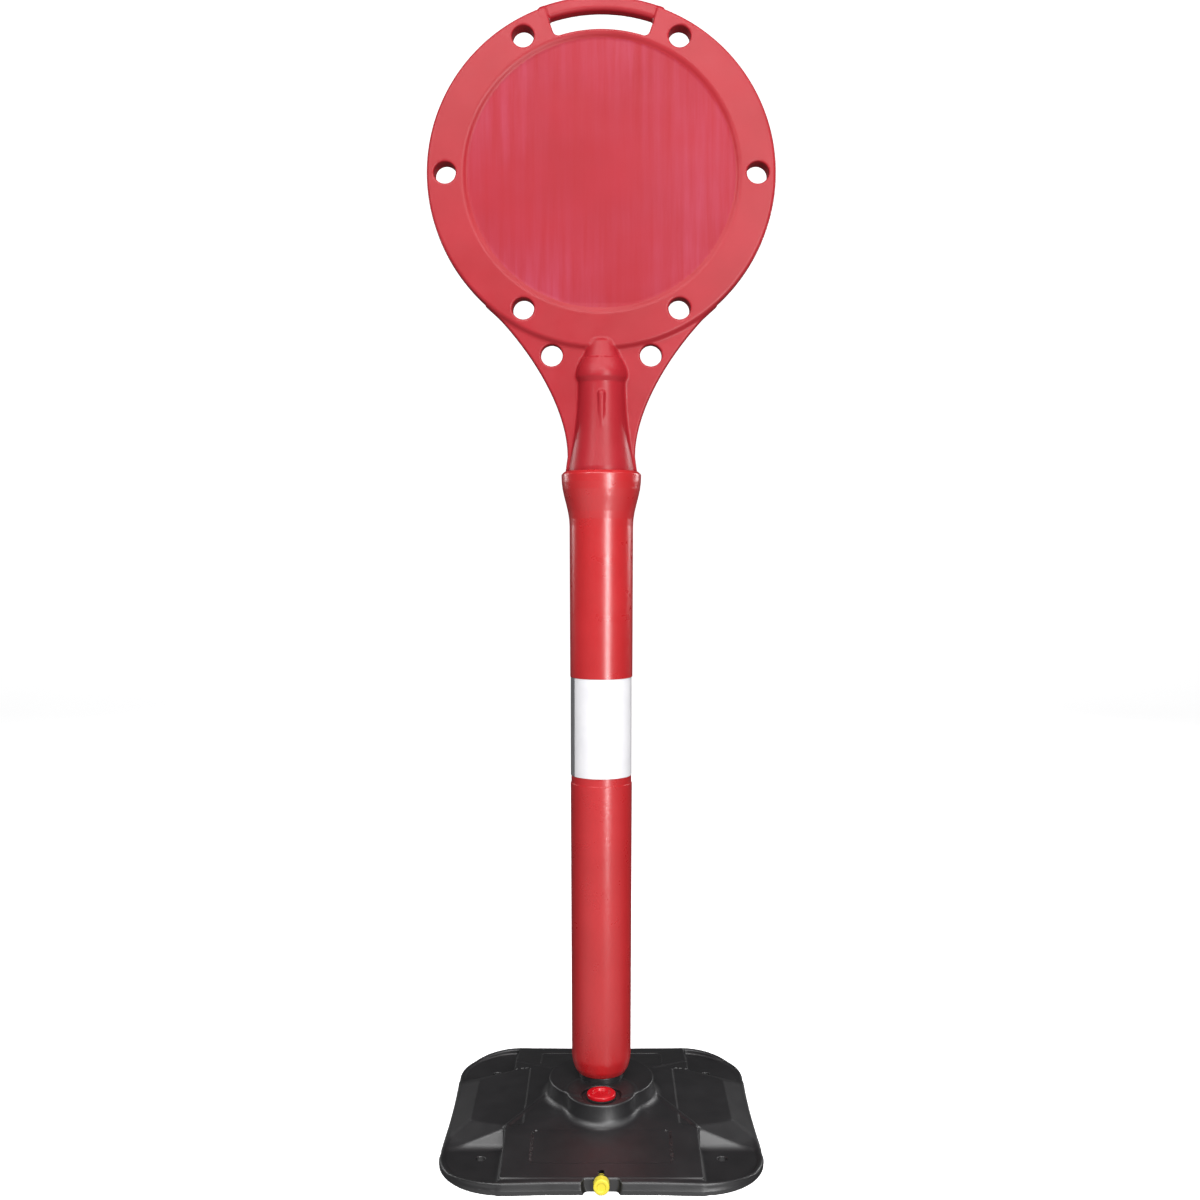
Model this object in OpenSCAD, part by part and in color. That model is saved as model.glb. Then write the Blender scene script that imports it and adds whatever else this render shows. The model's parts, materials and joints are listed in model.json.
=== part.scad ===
// Free-standing round traffic paddle: a hollow red paddle head plugged into a
// flared post, which turns on a black spigot in a fillable black base.
// Millimetres, +Z up, front face towards -Y, origin at the centre of the
// base's underside.

/* [Paddle head] */
// Height of the centre of the round panel above the ground
disc_z = 1092; // [1080:1:1100]
// Outer radius of the round ring
disc_r = 200; // [198:0.5:202]
// Thickness of the ring
ring_t = 24; // [22:0.5:28]
// Radius where the recessed panel starts
panel_r = 158.5; // [150:0.5:160]
// Depth of the panel recess on each face
panel_recess = 3.5; // [2:0.5:4]
// Width of the bevel between ring and panel
panel_bevel = 5; // [3:0.5:7]
// Thickness of the web between ring and neck
web_t = 15; // [13:0.5:16]
// Wall of the blow-moulded shells
wall = 3; // [2.5:0.1:3.2]

/* [Holes and hand grip] */
// Diameter of the round through holes
hole_d = 25; // [20:0.5:26]
// Radius of the circle that the six ring holes lie on
hole_circle_r = 179; // [178:0.5:180]
// Half spacing of the two web holes
web_hole_x = 57; // [56:0.5:58]
// Height of the two web holes
web_hole_z = 884; // [882:0.5:886]
// Inner radius of the hand-grip slot
grip_in_r = 163.5; // [163:0.5:165]
// Outer radius of the hand-grip slot
grip_out_r = 190; // [188:0.5:191]
// Half angle that the slot spans at the disc's centre
grip_a = 19; // [17:0.5:20]
// Radius of the slot's corners
grip_corner_r = 6; // [3:0.5:8]
// How far the grip bar stands proud of the ring
grip_proud = 3; // [1:0.5:4]
// Thickness of the grip bar
grip_t = 18; // [16:0.5:20]

/* [Post] */
// Height of the collar's rim
post_top = 751; // [749:0.5:753]
// Outer radius of the post just above its foot
post_r = 33.7; // [33.5:0.1:34.5]
// Outer radius of the post just below the collar
post_top_r = 36.4; // [36:0.1:37]
// Largest outer radius of the collar
collar_r = 45.7; // [45:0.1:47]
// Lower edge of the reflective band
band_z = 401; // [380:1:420]
// Height of the reflective band
band_h = 113; // [80:1:120]
// Radius of the plug that the head stands on
plug_r = 32; // [31:0.1:32.2]
// Lower end of the plug
plug_z = 640; // [630:1:660]

/* [Base] */
// Side of the square base
base_w = 348; // [344:1:352]
// Radius of its corners in plan
base_corner_r = 72; // [68:1:76]
// How far each side is drawn in at its middle
base_pinch = 2.5; // [1:0.5:4]
// Height of the rim along the front and the back
rim_h = 17.5; // [17:0.5:18]
// Height of the rim along the two sides
side_rim_h = 9; // [8.5:0.5:11]
// Height of the top at the inner corners of the pockets
deck_h = 26.5; // [26:0.5:27.5]
// Height of the hub
hub_z = 50; // [49:0.5:51]
// Height of the floor in the corner pockets
pocket_floor = 6; // [5:0.5:7]
// Half width of the front and back lobes between the pockets
lobe_x = 106; // [100:1:110]
// Half width of the side lobes between the pockets
lobe_y = 88; // [84:1:92]
// Half spacing of the anchor holes along X
anchor_x = 130; // [128:1:132]
// Half spacing of the anchor holes along Y
anchor_y = 108; // [107:1:112]
// Diameter of the anchor holes
anchor_d = 10; // [8:0.5:12]

/* [Filler cap and drain plug] */
// Distance of the filler cap in front of the post
filler_y = 53; // [52:0.5:54]
// Diameter of the filler cap
filler_d = 34.5; // [33:0.5:35.5]
// Height of the drain plug's axis
drain_z = 10.3; // [10:0.1:10.6]
// Diameter of the drain plug's knob
drain_d = 19; // [17:0.5:19.5]

/* [Hidden] */
$fn = 96;
gap = 0.3;             // between pieces that move on each other
red = "#c8353c";
black = "#232124";

ring_edge = 3;         // bevel on the ring's outer edge
hole_r = hole_d / 2;
bar_a = grip_a + 1.5;   // half angle of the grip bar

// Web outline, right half: from the ring down to the collar.
web_start = [131.7, 941];
web_lead = [87.9, 900];
web_pull = [38.7, 828];
web_end = [38.7, 768];
web_foot_x = 41;
web_steps = 16;

// Neck and dome, revolved about the post's axis.
neck_z0 = 755;
neck_z1 = 850;
neck_r0 = 37.5;
neck_r1 = 27.5;
dome_z = 860;
dome_r = 30.3;
dome_bend_r = 30;      // radius of the dome's shoulder in section
dome_a = 26;           // slope of the dome's cone from upright
dome_tip_r = 8;
seat_z = post_top - 6; // where the neck's shoulder stands in the collar
curve_steps = 10;
bend_steps = 4;
rib_z0 = 790;
rib_z1 = 838;
rib_r = 4.5;
rib_y = 26;

post_foot_z = 57;
post_foot_r = 27.5;
post_bevel_z = 72;
flare_z0 = 688;
flare_z1 = 744;
mouth_r = neck_r0 + gap + 0.2;
bore_r = plug_r + gap;
band_recess = 0.8;
band_t = 0.6;
band_seat_below = 9;   // how far the seat reaches below the band
band_lap_a = 58;       // angle of the strip that covers the band's joint
band_lap_t = 0.5;

spigot_r = 21.7;
spigot_bore_r = spigot_r + gap;
spigot_flange_r = 25.5;
spigot_z0 = 8;
spigot_z1 = 105;
socket_floor_z = 5;

half = base_w / 2;
hub_r = 59.5;
hub_foot_r = 76;
boss_r = 38.5;
boss_foot_r = 54;
boss_y = 40;
lip_w = 5;             // rim left standing round a corner pocket
lip_h = 7.5;
lip_rise = 0.168;      // slope of the rim towards the front and the back
lip_top_h = 13;
rim_bevel = 6;
side_y = half - base_pinch;    // the front wall at its middle
hub_steps = 8;
face_recess = 2;
deck_slope = (deck_h - rim_h) / (side_y - rim_bevel - lobe_y);
side_slope = 0.08;     // of the side lobes, from the hub to their outer crease
side_crease_x = 146;
pinch_half = half - base_corner_r;
pinch_r = (pinch_half * pinch_half + base_pinch * base_pinch) / (2 * base_pinch);
// Sloped cut on the side lobes beside each pocket, as rises along X and Y.
cut_rise = [0.353, 1];
filler_mouth_z = 30;   // lower end of the filler hole, inside the cavity
niche_r = 20.5;
niche_depth = 5;
filler_seat_r = 22;
filler_seat_z = hub_z - 2;
filler_bore_r = 14;
cap_top_z = hub_z + 4;
cap_dish_r = 9.5;
gasket_t = 1.5;
drain_bore_r = 5.5;
drain_stem_l = 10;
drain_face_y = half + 4;
drain_seat_y = side_y - niche_depth;
water_z = 21;

function mix(a, b, t) = a + (b - a) * t;
function cubic(p0, p1, p2, p3, t) =
    pow(1 - t, 3) * p0 + 3 * pow(1 - t, 2) * t * p1
    + 3 * (1 - t) * t * t * p2 + pow(t, 3) * p3;
function cubic_slope(p0, p1, p2, p3, t) =
    3 * pow(1 - t, 2) * (p1 - p0) + 6 * (1 - t) * t * (p2 - p1) + 3 * t * t * (p3 - p2);
function web_point(t, inset) =
    let (p = cubic(web_start, web_lead, web_pull, web_end, t),
         d = cubic_slope(web_start, web_lead, web_pull, web_end, t),
         n = [d[1], -d[0]] / norm(d))
    p + inset * n;
function flip(points) = [for (i = [len(points) - 1 : -1 : 0]) [-points[i][0], points[i][1]]];

// Web outline drawn in by inset, as one closed polygon in X and Z.
function web_outline(inset) =
    let (side = [for (i = [0 : web_steps]) web_point(i / web_steps, inset)],
         foot = [[web_foot_x - inset, post_top + gap + inset]])
    concat(side, foot, flip(concat(side, foot)));

function neck_r(t) = neck_r1 + (neck_r0 - neck_r1) * (1 - sin(90 * t));
dome_bend_z = dome_z + dome_bend_r * sin(dome_a);
dome_cone_r = dome_r - dome_bend_r * (1 - cos(dome_a));
dome_tip_z = dome_bend_z + (dome_cone_r - dome_tip_r) / tan(dome_a);

// Half section of the neck, its dome and the plug, drawn in by inset.
function neck_outline(inset, bottom) = concat(
    [[0, bottom], [plug_r - 2 - inset, bottom], [plug_r - inset, bottom + 4]],
    [[plug_r - inset, seat_z + gap + inset], [neck_r0 - inset, seat_z + gap + inset]],
    [for (i = [0 : curve_steps]) let (t = i / curve_steps)
        [neck_r(t) - inset, mix(neck_z0, neck_z1, t)]],
    [[neck_r1 - inset, dome_z - 7 + inset]],
    [for (i = [0 : bend_steps]) let (a = dome_a * i / bend_steps)
        [dome_r - inset - dome_bend_r * (1 - cos(a)), dome_z + dome_bend_r * sin(a)]],
    [[dome_tip_r - inset, dome_tip_z], [0, dome_tip_z]]);

// Lays a solid that was made along Z so that it runs along Y at height z.
module along_y(z = 0) { translate([0, 0, z]) rotate([90, 0, 0]) children(); }

module disc(inset) {
    h = ring_t / 2 - inset;
    p = h - panel_recess;
    r = disc_r - inset;
    e = ring_edge;
    b = panel_r + inset;
    along_y(disc_z) rotate_extrude($fn = 180)
        polygon([[0, -p], [b - panel_bevel, -p], [b, -h], [r - e, -h], [r, -h + e],
                 [r, h - e], [r - e, h], [b, h], [b - panel_bevel, p], [0, p]]);
}

// Flat sector about the disc's centre, from radius r0 to r1, within the half
// angle a of straight up.
module sector(r0, r1, a) {
    far = 2 * disc_r;
    intersection() {
        difference() {
            circle(r1, $fn = 180);
            circle(r0, $fn = 180);
        }
        polygon([[0, 0], [far * sin(a), far * cos(a)], [-far * sin(a), far * cos(a)]]);
    }
}

// The rounded bar above the slot, thinner than the ring and a little proud of it.
module grip_bar() {
    r1 = disc_r + grip_proud;
    h = grip_t / 2;
    c = 4;
    intersection() {
        along_y(disc_z) rotate_extrude($fn = 180)
            polygon([[grip_out_r, -h + c], [grip_out_r + c, -h], [r1 - c, -h], [r1, -h + c],
                     [r1, h - c], [r1 - c, h], [grip_out_r + c, h], [grip_out_r, h - c]]);
        along_y(disc_z) translate([0, 0, -ring_t]) linear_extrude(2 * ring_t)
            sector(grip_in_r, 2 * disc_r, bar_a);
    }
}

// The hand-grip slot, grown by grow for the wall around it.
module grip_slot(grow = 0) {
    r0 = grip_in_r - grow;
    r1 = grip_out_r + grow;
    c = grip_corner_r + grow;
    a0 = asin(c / (r0 + c));
    a1 = asin(c / (r1 - c));
    end_a = grip_a + asin(grow / r0);
    corner = c + 0.02; // crosses the slot's edges instead of only touching them
    along_y(disc_z) translate([0, 0, -ring_t]) linear_extrude(2 * ring_t) {
        sector(r0 + c, r1 - c, end_a);
        sector(r0, r0 + c + 1, end_a - a0);
        sector(r1 - c - 1, r1, end_a - a1);
        for (s = [-1, 1]) {
            rotate(s * (end_a - a0)) translate([0, r0 + c]) circle(corner);
            rotate(s * (end_a - a1)) translate([0, r1 - c]) circle(corner);
        }
    }
}

// Room for the grip bar, cut out of the ring above the slot.
module bar_gap(grow = 0) {
    along_y(disc_z) translate([0, 0, -ring_t]) linear_extrude(2 * ring_t)
        sector(grip_out_r - grip_corner_r - grow, 2 * disc_r, grip_a + asin(grow / grip_in_r));
}

module head_holes(grow = 0) {
    for (i = [0 : 5]) let (a = 60 * i)
        translate([hole_circle_r * cos(a), 0, disc_z + hole_circle_r * sin(a)])
            along_y() cylinder(r = hole_r + grow, h = 3 * ring_t, center = true);
    for (s = [-1, 1])
        translate([s * web_hole_x, 0, web_hole_z])
            along_y() cylinder(r = hole_r + grow, h = 3 * ring_t, center = true);
}

module web(inset) {
    t = web_t - 2 * inset;
    translate([0, t / 2, 0]) along_y() linear_extrude(t) polygon(web_outline(inset));
}

module sign_head() {
    color(red) difference() {
        union() {
            difference() {
                disc(0);
                bar_gap();
            }
            grip_bar();
            web(0);
            rotate_extrude() polygon(neck_outline(0, plug_z));
            translate([0, -rib_y, rib_z0]) cylinder(r = rib_r, h = rib_z1 - rib_z0);
            translate([0, -rib_y, rib_z1]) sphere(rib_r);
        }
        difference() {
            union() {
                disc(wall);
                web(wall);
                rotate_extrude() polygon(neck_outline(wall, plug_z - 1));
            }
            grip_slot(wall);
            bar_gap(wall);
            head_holes(wall);
        }
        grip_slot();
        head_holes();
    }
}

function flare_at(t) = mix(post_top_r, collar_r, (1 - cos(180 * t)) / 2);
function flare_points(inset) =
    [for (i = [0 : curve_steps]) let (t = i / curve_steps)
        [flare_at(t) - inset, mix(flare_z0, flare_z1, t)]];

module post() {
    band_r = mix(post_r, post_top_r, (band_z - post_bevel_z) / (flare_z0 - post_bevel_z));
    color(red) difference() {
        rotate_extrude() polygon(concat(
            [[0, post_foot_z], [post_foot_r, post_foot_z], [post_r, post_bevel_z]],
            flare_points(0),
            [[collar_r, post_top - 4], [collar_r - 4, post_top], [0, post_top]]));
        rotate_extrude() polygon([
            [0, post_foot_z - 1], [spigot_bore_r, post_foot_z - 1],
            [spigot_bore_r, post_bevel_z + 6], [post_r - wall, post_bevel_z + 16],
            [bore_r - 2, plug_z - 40], [bore_r, plug_z - 20], [bore_r, seat_z],
            [mouth_r, seat_z], [mouth_r, post_top + 1], [0, post_top + 1]]);
        translate([0, 0, band_z - band_seat_below]) difference() {
            cylinder(r = 2 * post_r, h = band_h + band_seat_below);
            translate([0, 0, -1])
                cylinder(r = band_r - band_recess, h = band_h + band_seat_below + 2);
        }
    }
}

module reflective_band() {
    band_r = mix(post_r, post_top_r, (band_z - post_bevel_z) / (flare_z0 - post_bevel_z));
    r = band_r - band_recess;
    color("white") translate([0, 0, band_z]) {
        difference() {
            cylinder(r = r + band_t, h = band_h);
            translate([0, 0, -1]) cylinder(r = r, h = band_h + 2);
        }
        rotate(180 - band_lap_a / 2) rotate_extrude(angle = band_lap_a)
            translate([r + band_t / 2, 0]) square([band_t / 2 + band_lap_t, band_h]);
    }
}

module post_spigot() {
    flange_z0 = hub_z + gap;
    flange_z1 = post_foot_z - gap;
    color(black) rotate_extrude() polygon([
        [spigot_r - wall, spigot_z0], [spigot_r - 1, spigot_z0], [spigot_r, spigot_z0 + 2],
        [spigot_r, flange_z0], [spigot_flange_r, flange_z0], [spigot_flange_r, flange_z1],
        [spigot_r, flange_z1], [spigot_r, spigot_z1 - 3], [spigot_r - 1.5, spigot_z1],
        [spigot_r - wall, spigot_z1]]);
}

// Turns a solid made along Z so that it points out of the front at the drain.
module at_drain(y) { translate([0, -y, drain_z]) rotate([90, 0, 0]) children(); }

// Square plan with round corners and sides drawn in at the middle.
module base_plan(inset, z0, z1) {
    c = half - base_corner_r;
    difference() {
        translate([0, 0, z0]) linear_extrude(z1 - z0) {
            for (x = [-c, c], y = [-c, c]) translate([x, y]) circle(base_corner_r - inset);
            square([2 * (half - inset), 2 * c], center = true);
            square([2 * c, 2 * (half - inset)], center = true);
        }
        for (a = [0 : 90 : 270]) rotate(a)
            translate([half + pinch_r - base_pinch - inset, 0, z0 - 1])
                cylinder(r = pinch_r, h = z1 - z0 + 2, $fn = 720);
    }
}

// Front and back planes that rise towards the hub, with a bevel along the rim.
function deck_section(drop) =
    let (y = side_y - rim_bevel - drop, far = half + 5, low = rim_h - drop - (far - y))
    [[-far, -5], [far, -5], [far, low], [y, rim_h - drop],
     [0, rim_h - drop + y * deck_slope], [-y, rim_h - drop], [-far, low]];

// Side planes, which fall steeply outside their crease to the lower side rim.
function side_section(drop) =
    let (z = deck_h - (side_crease_x - lobe_x) * side_slope - drop,
         fall = (z + drop - side_rim_h) / (half - side_crease_x),
         far = half + 5, low = z - (far - side_crease_x) * fall)
    [[-far, -5], [far, -5], [far, low], [side_crease_x, z],
     [0, z + side_crease_x * side_slope], [-side_crease_x, z], [-far, low]];

module roof(drop) {
    far = half + 5;
    intersection() {
        rotate(90) along_y() translate([0, 0, -far]) linear_extrude(2 * far)
            polygon(deck_section(drop));
        along_y() translate([0, 0, -far]) linear_extrude(2 * far)
            polygon(side_section(drop));
    }
}

// The space above the sloped cut at each pocket, moved inwards by inset.
module pocket_cuts(inset) {
    size = 120;
    lean = norm([cut_rise[0], cut_rise[1], 1]);
    for (x = [0, 1], y = [0, 1]) mirror([x, 0, 0]) mirror([0, y, 0])
        translate([lobe_x + 6, lobe_y, deck_h - inset * lean])
            rotate([0, acos(1 / lean), atan2(cut_rise[1], cut_rise[0])])
                translate([-size / 2, -size / 2, 0]) cube(size);
}

// The cross-shaped top between the corner pockets, drawn in by inset.
module deck(inset, drop, z0, z1) {
    x = lobe_x - inset;
    y = lobe_y - inset;
    intersection() {
        base_plan(inset, z0, z1);
        roof(drop);
        union() {
            translate([-x, -half, z0]) cube([2 * x, base_w, z1 - z0]);
            difference() {
                translate([-half, -y, z0]) cube([base_w, 2 * y, z1 - z0]);
                pocket_cuts(inset);
            }
        }
    }
}

// Half section of a boss that flares into the sloped top, drawn in by inset.
function boss_outline(r, foot_r, inset) = concat(
    [[0, 0], [foot_r - inset, 0]],
    [for (i = [0 : hub_steps]) let (t = i / hub_steps)
        [mix(r, foot_r, 1 - sin(90 * t)) - inset, mix(rim_h, hub_z - inset, t)]],
    [[0, hub_z - inset]]);

// The keyhole-shaped hub: the post's round boss and the filler's smaller one.
module hub(inset) {
    rotate_extrude() polygon(boss_outline(hub_r, hub_foot_r, inset));
    translate([0, -boss_y, 0])
        rotate_extrude() polygon(boss_outline(boss_r, boss_foot_r, inset));
}

// Shallow panels on the sloped faces.
module face_panels() {
    near = 86;
    far = 142;
    width = 150;
    difference() {
        for (a = [0 : 90 : 270]) rotate(a)
            translate([-width / 2, near, 0]) cube([width, far - near, hub_z]);
        roof(face_recess);
    }
}

module cavity() {
    difference() {
        union() {
            deck(wall, wall + face_recess, wall, hub_z);
            intersection() {
                hub(wall);
                translate([-half, -half, wall]) cube([base_w, base_w, hub_z]);
            }
        }
        cylinder(r = spigot_bore_r + wall, h = hub_z);
        translate([-niche_r - wall, -half, 0])
            cube([2 * (niche_r + wall), half - drain_seat_y + wall, hub_z]);
    }
}

// Low rim round the corner pockets, which rises towards the front and the back.
module pocket_rim() {
    difference() {
        union() {
            base_plan(0, 0, lip_h);
            for (s = [0, 1]) mirror([0, s, 0]) intersection() {
                base_plan(0, 0, lip_h + lip_w);
                translate([-half, half, 0]) rotate([atan(lip_rise), 0, 0])
                    translate([0, -base_w, -half]) cube([base_w, base_w, half + lip_top_h]);
            }
        }
        base_plan(lip_w, -1, hub_z);
    }
}

module base_shell() {
    color(black) difference() {
        union() {
            difference() {
                deck(0, 0, 0, hub_z);
                face_panels();
            }
            base_plan(0, 0, pocket_floor);
            pocket_rim();
            hub(0);
        }
        cavity();
        translate([0, 0, socket_floor_z]) cylinder(r = spigot_bore_r, h = hub_z);
        translate([0, -filler_y, filler_seat_z]) cylinder(r = filler_seat_r, h = hub_z);
        translate([0, -filler_y, filler_mouth_z]) cylinder(r = filler_bore_r, h = hub_z);
        at_drain(drain_seat_y) cylinder(r1 = niche_r - 2, r2 = niche_r + 1, h = niche_depth + 3);
        at_drain(drain_seat_y - drain_stem_l) cylinder(r = drain_bore_r, h = half);
        for (x = [-anchor_x, anchor_x], y = [-anchor_y, anchor_y])
            translate([x, y, -1]) cylinder(r = anchor_d / 2, h = deck_h);
    }
}

module filler_cap() {
    flange_z = filler_seat_z + gasket_t + 0.2;
    stem_r = filler_bore_r - gap;
    color("#be1924") translate([0, -filler_y, 0]) difference() {
        rotate_extrude() polygon([
            [0, 36], [stem_r - 1.5, 36], [stem_r, 38], [stem_r, flange_z],
            [filler_d / 2, flange_z], [filler_d / 2, cap_top_z - 1.5],
            [filler_d / 2 - 2, cap_top_z], [cap_dish_r + 1.5, cap_top_z],
            [cap_dish_r, cap_top_z - 3], [0, cap_top_z - 3]]);
        translate([0, 0, 35]) cylinder(r = stem_r - wall, h = flange_z - 35 - 1);
    }
}

module filler_gasket() {
    color("dimgray") translate([0, -filler_y, filler_seat_z + 0.1]) difference() {
        cylinder(r = filler_d / 2 - 0.5, h = gasket_t);
        translate([0, 0, -1]) cylinder(r = filler_bore_r + 0.1, h = gasket_t + 2);
    }
}

module drain_plug() {
    knob_h = drain_face_y - drain_seat_y - gasket_t - 0.2;
    stem_r = drain_bore_r - gap;
    color("#f3e44d") at_drain(drain_seat_y + gasket_t + 0.2) rotate_extrude() polygon([
        [0, -drain_stem_l], [stem_r - 1, -drain_stem_l], [stem_r, 1 - drain_stem_l], [stem_r, 0],
        [drain_d / 2, 0], [drain_d / 2, knob_h - 1.5], [drain_d / 2 - 1.5, knob_h],
        [5, knob_h], [4, knob_h - 1], [0, knob_h - 1]]);
}

module drain_gasket() {
    color("dimgray") at_drain(drain_seat_y + 0.1) difference() {
        cylinder(r = 8.5, h = gasket_t);
        translate([0, 0, -1]) cylinder(r = drain_bore_r + 0.1, h = gasket_t + 2);
    }
}

module ballast_water() {
    lift = 0.4;        // keeps the fill off the shell's walls
    color("lightblue") difference() {
        deck(wall + lift, wall + face_recess + lift, wall + lift, water_z);
        translate([0, 0, -1]) cylinder(r = spigot_bore_r + wall + lift, h = hub_z);
        translate([-niche_r - wall - lift, -half, 0])
            cube([2 * (niche_r + wall + lift), half - drain_seat_y + 10 + wall, hub_z]);
    }
}

sign_head();
post();
reflective_band();
post_spigot();
base_shell();
filler_cap();
filler_gasket();
drain_plug();
drain_gasket();
ballast_water();
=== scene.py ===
"""Looks of the round traffic paddle: soft blow-moulded shells, film, caps and their plastics.

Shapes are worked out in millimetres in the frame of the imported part, +Z up, front towards -Y.
The two blow-moulded shells are distance fields, negative inside, that a surface net turns into
meshes. The round pieces are lathed from outlines with rounded corners.
"""
import json
from math import atan, cos, pi, radians, sin, sqrt, tan

import bpy
import numpy as np
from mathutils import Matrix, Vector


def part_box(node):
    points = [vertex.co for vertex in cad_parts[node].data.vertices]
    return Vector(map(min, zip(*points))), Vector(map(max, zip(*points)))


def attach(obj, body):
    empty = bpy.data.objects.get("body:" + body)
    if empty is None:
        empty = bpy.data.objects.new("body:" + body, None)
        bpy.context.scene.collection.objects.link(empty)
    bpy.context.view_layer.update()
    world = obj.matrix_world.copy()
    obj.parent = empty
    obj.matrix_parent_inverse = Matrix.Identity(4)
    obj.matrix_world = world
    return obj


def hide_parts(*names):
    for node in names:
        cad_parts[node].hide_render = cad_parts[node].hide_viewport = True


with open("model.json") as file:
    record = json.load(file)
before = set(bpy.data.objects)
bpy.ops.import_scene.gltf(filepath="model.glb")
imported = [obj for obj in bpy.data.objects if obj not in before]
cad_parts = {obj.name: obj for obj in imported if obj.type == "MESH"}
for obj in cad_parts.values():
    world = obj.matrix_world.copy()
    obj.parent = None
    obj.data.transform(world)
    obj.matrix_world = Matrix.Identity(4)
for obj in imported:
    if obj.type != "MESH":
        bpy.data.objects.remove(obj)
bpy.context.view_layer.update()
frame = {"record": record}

MM = 0.001


# ---------------------------------------------------------------- sizes, from the frame

def box_mm(node):
    low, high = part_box(node)
    return np.array(low) / MM, np.array(high) / MM


head_low, head_high = box_mm("sign_head")
post_low, post_high = box_mm("post")
band_low, band_high = box_mm("reflective_band")
spigot_low, spigot_high = box_mm("post_spigot")
base_high = box_mm("base_shell")[1]
cap_low, cap_high = box_mm("filler_cap")
seal_low, seal_high = box_mm("filler_gasket")
plug_low, plug_high = box_mm("drain_plug")
ring_seal_low, ring_seal_high = box_mm("drain_gasket")
mounts = {m["name"]: m for m in frame["record"]["mounts"]}

DISC_R = head_high[0]
DISC_Z = mounts["ring_holes"]["pos_m"][2] / MM
RING_HALF = 12.0
PANEL_HALF = 8.5
PANEL_R = 154.0
BEVEL_RUN = 5.0
BEVEL_DEPTH = RING_HALF - PANEL_HALF
HOLE_R = mounts["ring_holes"]["dims"]["hole_r_mm"]
HOLE_CIRCLE = mounts["ring_holes"]["dims"]["pcd_mm"] / 2
WEB_HOLE_X = mounts["web_holes"]["dims"]["spacing_x_mm"] / 2
WEB_HOLE_Z = mounts["web_holes"]["pos_m"][2] / MM
GRIP_IN = 163.5
GRIP_OUT = 184.0
GRIP_ANGLE = radians(19)
BAR_IN = 186.0
BAR_OUT = head_high[2] - DISC_Z
BAR_HALF = 9.0
WEB_HALF = 7.5
SEAT_Z = post_high[2] - 5.7
PLUG_R = 32.0
RIB_Y = 26.0
TIP_Z = 903.0
SEAM_HEIGHT = 0.35
SEAM_WIDTH = 0.7

BASE_HALF = base_high[0]
CORNER_R = 72.0
PINCH = 2.5
RIM_Z = 15.0
RIM_BEVEL = 7.0
SIDE_RIM_Z = 9.0
DECK_Z = 26.5
LOBE_X = 106.0
LOBE_Y = 88.0
CREASE_X = 146.0
WALL_TILT = 0.65
CUT_X, CUT_Y = 0.24, 0.35
CUT_START = 6
CUT_BACK = 11
CUT_DROP = 4
SIDE_SLOPE = 0.08
HUB_Z = base_high[2]
POCKET_Z = 6.0
FILLER_Y = (cap_low[1] + cap_high[1]) / 2
DRAIN_Z = (plug_low[2] + plug_high[2]) / 2
NICHE_Y = -BASE_HALF + PINCH + 5


# ---------------------------------------------------------------- distance fields

def round_both(a, b, r):
    """The overlap of two fields, with its edge rounded by r."""
    return np.minimum(-r, np.maximum(a, b)) + np.hypot(np.maximum(a + r, 0), np.maximum(b + r, 0))


def round_either(a, b, r):
    """The union of two fields, with a fillet of radius r between them."""
    return np.maximum(r, np.minimum(a, b)) - np.hypot(np.maximum(r - a, 0), np.maximum(r - b, 0))


def outline_distance(x, z, loop):
    """Distance to a closed outline, negative inside it."""
    nearest = np.inf
    inside = False
    for (x0, z0), (x1, z1) in zip(loop, np.roll(loop, -1, axis=0)):
        ex, ez = x1 - x0, z1 - z0
        t = np.clip(((x - x0) * ex + (z - z0) * ez) / (ex * ex + ez * ez), 0, 1)
        nearest = np.minimum(nearest, (x - x0 - t * ex) ** 2 + (z - z0 - t * ez) ** 2)
        if ez:
            crosses = ((z0 > z) != (z1 > z)) & (x < ex * (z - z0) / ez + x0)
            inside = inside ^ crosses
    return np.where(inside, -np.sqrt(nearest), np.sqrt(nearest))


def revolved(radius, z, outline_z, outline_r):
    """Distance to a solid turned about an upright axis, from its radius at each height."""
    wall = np.interp(z, outline_z, outline_r)
    slope = np.interp(z, outline_z, np.gradient(outline_r, outline_z))
    return (radius - wall) / np.sqrt(1 + slope * slope)


def surface_net(field, axes):
    """Corners and quads of the surface where the field crosses zero, on a grid with these axes."""
    shape = [len(a) for a in axes]
    value = np.broadcast_to(field(*np.meshgrid(*axes, indexing="ij", sparse=True)), shape)
    inside = value < 0
    cells, spots, quads = [], [], []
    for k in range(3):
        a, b = (k + 1) % 3, (k + 2) % 3
        low, high = [slice(None)] * 3, [slice(None)] * 3
        low[k], high[k] = slice(0, -1), slice(1, None)
        low, high = tuple(low), tuple(high)
        at = np.argwhere(inside[low] != inside[high])
        f0 = value[low][tuple(at.T)]
        f1 = value[high][tuple(at.T)]
        spot = np.stack([axes[m][at[:, m]] for m in range(3)], axis=1)
        spot[:, k] += f0 / (f0 - f1) * (axes[k][at[:, k] + 1] - axes[k][at[:, k]])
        corners = []
        for da, db in ((0, 0), (-1, 0), (-1, -1), (0, -1)):
            cell = at.copy()
            cell[:, a] += da
            cell[:, b] += db
            corners.append(np.ravel_multi_index(cell.T, shape))
            cells.append(corners[-1])
            spots.append(spot)
        quad = np.stack(corners, axis=1)
        leaving = inside[tuple(at.T)]
        quads.append(np.where(leaving[:, None], quad, quad[:, ::-1]))
    used, slot = np.unique(np.concatenate(cells), return_inverse=True)
    spots = np.concatenate(spots)
    count = np.bincount(slot)
    points = np.stack([np.bincount(slot, spots[:, m]) / count for m in range(3)], axis=1)
    return points, np.searchsorted(used, np.concatenate(quads))


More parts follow.
